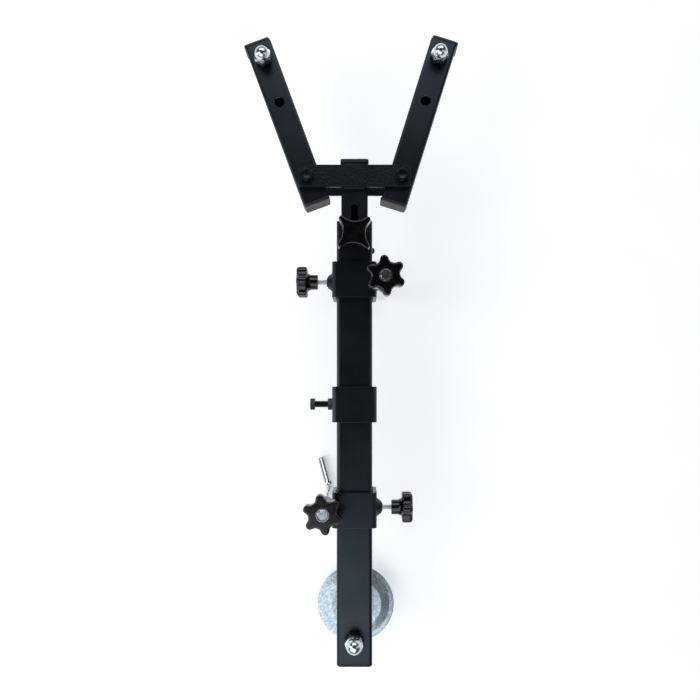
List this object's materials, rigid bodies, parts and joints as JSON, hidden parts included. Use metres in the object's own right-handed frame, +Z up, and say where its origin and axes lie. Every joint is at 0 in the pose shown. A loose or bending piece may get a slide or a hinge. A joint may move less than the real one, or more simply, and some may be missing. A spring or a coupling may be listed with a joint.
{
  "type": "speed bag platform",
  "caption": "Telescoping square-tube mast with two pivoting V arms for a drum board, sliding clamp sleeves with hook bolts and star knobs, and a levelling screw foot.",
  "frame": {"origin": "centre of the middle sleeve's underside, on the plane where all three sleeves rest on the rack's beams", "axes": "+Z up, away from the beams; +Y along the mast towards the board arms; +X across, towards the top hook"},
  "size_m": [0.2407, 0.7313, 0.201],
  "materials": {
    "satin_black_paint": "satin black powder coat over steel tube",
    "wrinkle_black_paint": "coarser textured black powder coat over steel plate",
    "cap_plastic": "moulded black polyethylene or nylon",
    "knob_plastic": "moulded black phenolic, semi-gloss",
    "black_steel": "black-oxide steel fasteners",
    "bright_zinc": "bright blue-white zinc plate over steel",
    "zinc_disc": "zinc-plated pressed steel, faintly spangled"
  },
  "bodies": {
    "mast": {"outer_mast_tube": "satin_black_paint", "outer_mast_cap": "cap_plastic", "guide_bush": "cap_plastic", "bush_screw": "black_steel", "knob_weld_nut": "satin_black_paint"},
    "inner_mast": {"inner_mast_tube": "satin_black_paint", "inner_mast_cap": "cap_plastic", "inner_mast_glide": "cap_plastic", "cross_plate_front": "wrinkle_black_paint", "cross_plate_rear": "wrinkle_black_paint", "pivot_bolt_left": "black_steel", "pivot_bolt_right": "black_steel", "pivot_nut_left": "black_steel", "pivot_nut_right": "black_steel"},
    "arm_left": {"arm_tube_left": "satin_black_paint", "arm_top_cap_left": "cap_plastic", "arm_bottom_cap_left": "cap_plastic", "board_bolt_left": "bright_zinc", "board_jam_nut_left": "black_steel", "board_acorn_nut_left": "bright_zinc"},
    "arm_right": {"arm_tube_right": "satin_black_paint", "arm_top_cap_right": "cap_plastic", "arm_bottom_cap_right": "cap_plastic", "board_bolt_right": "bright_zinc", "board_jam_nut_right": "black_steel", "board_acorn_nut_right": "bright_zinc"},
    "cross_knob_tip": {"cross_knob_tip": "cap_plastic"},
    "cross_knob": {"cross_knob": "knob_plastic", "cross_knob_stud": "bright_zinc"},
    "sleeve_top": {"sleeve_top_tube": "satin_black_paint", "clamp_boss_top": "satin_black_paint", "hook_lug_top": "satin_black_paint"},
    "clamp_tip_top": {"clamp_tip_top": "cap_plastic"},
    "clamp_knob_top": {"clamp_knob_top": "knob_plastic", "clamp_stud_top": "bright_zinc"},
    "hook_top": {"hook_bolt_top": "bright_zinc"},
    "star_knob_top": {"star_knob_top": "knob_plastic", "star_insert_top": "bright_zinc"},
    "sleeve_bottom": {"sleeve_bottom_tube": "satin_black_paint", "clamp_boss_bottom": "satin_black_paint", "hook_lug_bottom": "satin_black_paint"},
    "clamp_tip_bottom": {"clamp_tip_bottom": "cap_plastic"},
    "clamp_knob_bottom": {"clamp_knob_bottom": "knob_plastic", "clamp_stud_bottom": "bright_zinc"},
    "hook_bottom": {"hook_bolt_bottom": "bright_zinc"},
    "star_knob_bottom": {"star_knob_bottom": "knob_plastic", "star_insert_bottom": "bright_zinc"},
    "sleeve_middle": {"sleeve_middle_tube": "satin_black_paint", "set_bolt_nut": "satin_black_paint"},
    "set_bolt_tip": {"set_bolt_tip": "cap_plastic"},
    "set_bolt": {"set_bolt": "black_steel"},
    "foot_nuts": {"foot_jam_nut": "black_steel", "foot_rear_nut": "black_steel"},
    "foot_rod": {"foot_rod": "bright_zinc", "foot_acorn_nut": "bright_zinc"},
    "foot_disc": {"foot_disc": "zinc_disc"}
  },
  "joints": [
    {"name": "mast_telescope", "type": "slide", "parent": "mast", "child": "inner_mast", "axis": [0, 1, 0], "range_m": [-0.0345, 0.107]},
    {"name": "arm_left_swing", "type": "hinge", "parent": "inner_mast", "child": "arm_left", "pos_m": [-0.05334, 0.256, 0.025], "axis": [0, 0, 1], "range_deg": [-20, 50]},
    {"name": "arm_right_swing", "type": "hinge", "parent": "inner_mast", "child": "arm_right", "pos_m": [0.05334, 0.256, 0.025], "axis": [0, 0, 1], "range_deg": [-50, 17]},
    {"name": "cross_knob_travel", "type": "slide", "parent": "mast", "child": "cross_knob_tip", "axis": [0, 0, 1], "range_m": [0, 0.00501]},
    {"name": "cross_knob_turn", "type": "hinge", "parent": "cross_knob_tip", "child": "cross_knob", "pos_m": [0, 0.1867, 0.025], "axis": [0, 0, 1], "range_deg": [0, 1800]},
    {"name": "sleeve_top_slide", "type": "slide", "parent": "mast", "child": "sleeve_top", "axis": [0, 1, 0], "range_m": [-0.045, 0.004]},
    {"name": "sleeve_middle_slide", "type": "slide", "parent": "mast", "child": "sleeve_middle", "axis": [0, 1, 0], "range_m": [-0.045, 0.045]},
    {"name": "sleeve_bottom_slide", "type": "slide", "parent": "mast", "child": "sleeve_bottom", "axis": [0, 1, 0], "range_m": [-0.08, 0.028]},
    {"name": "set_bolt_travel", "type": "slide", "parent": "sleeve_middle", "child": "set_bolt_tip", "axis": [-1, 0, 0], "range_m": [0, 0.00626]},
    {"name": "set_bolt_turn", "type": "hinge", "parent": "set_bolt_tip", "child": "set_bolt", "pos_m": [0, 0, 0.025], "axis": [-1, 0, 0], "range_deg": [0, 1800]},
    {"name": "clamp_top_travel", "type": "slide", "parent": "sleeve_top", "child": "clamp_tip_top", "axis": [-1, 0, 0], "range_m": [0, 0.00501]},
    {"name": "clamp_top_turn", "type": "hinge", "parent": "clamp_tip_top", "child": "clamp_knob_top", "pos_m": [0, 0.1395, 0.025], "axis": [-1, 0, 0], "range_deg": [0, 1800]},
    {"name": "star_top_turn", "type": "hinge", "parent": "sleeve_top", "child": "star_knob_top", "pos_m": [0.034, 0.1395, 0.025], "axis": [0, 0, 1], "range_deg": [-7921, 0]},
    {"name": "hook_top_draw", "type": "slide", "parent": "sleeve_top", "child": "hook_top", "axis": [0, 0, 1], "range_m": [0, 0.0385]},
    {"name": "clamp_bottom_travel", "type": "slide", "parent": "sleeve_bottom", "child": "clamp_tip_bottom", "axis": [1, 0, 0], "range_m": [0, 0.00501]},
    {"name": "clamp_bottom_turn", "type": "hinge", "parent": "clamp_tip_bottom", "child": "clamp_knob_bottom", "pos_m": [0, -0.118, 0.025], "axis": [1, 0, 0], "range_deg": [0, 1800]},
    {"name": "star_bottom_turn", "type": "hinge", "parent": "sleeve_bottom", "child": "star_knob_bottom", "pos_m": [-0.034, -0.118, 0.025], "axis": [0, 0, 1], "range_deg": [-7921, 0]},
    {"name": "hook_bottom_draw", "type": "slide", "parent": "sleeve_bottom", "child": "hook_bottom", "axis": [0, 0, 1], "range_m": [0, 0.0385]},
    {"name": "foot_nuts_turn", "type": "hinge", "parent": "mast", "child": "foot_nuts", "pos_m": [0, -0.2643, 0.025], "axis": [0, 0, 1], "range_deg": [-10801, 0]},
    {"name": "foot_rod_travel", "type": "slide", "parent": "mast", "child": "foot_rod", "axis": [0, 0, 1], "range_m": [0, 0.0525]},
    {"name": "foot_disc_tilt", "type": "hinge", "parent": "foot_rod", "child": "foot_disc", "pos_m": [0, -0.2643, -0.0829], "axis": [1, 0, 0], "range_deg": [-8, 8]}
  ],
  "couplings": [
    {"joint": "cross_knob_travel", "follows": "cross_knob_turn", "m_per_rad": 0.00015915},
    {"joint": "set_bolt_travel", "follows": "set_bolt_turn", "m_per_rad": 0.00019894},
    {"joint": "clamp_top_travel", "follows": "clamp_top_turn", "m_per_rad": 0.00015915},
    {"joint": "star_top_turn", "follows": "hook_top_draw", "rad_per_m": -3590.4},
    {"joint": "clamp_bottom_travel", "follows": "clamp_bottom_turn", "m_per_rad": 0.00015915},
    {"joint": "star_bottom_turn", "follows": "hook_bottom_draw", "rad_per_m": -3590.4},
    {"joint": "foot_nuts_turn", "follows": "foot_rod_travel", "rad_per_m": -3590.4}
  ]
}
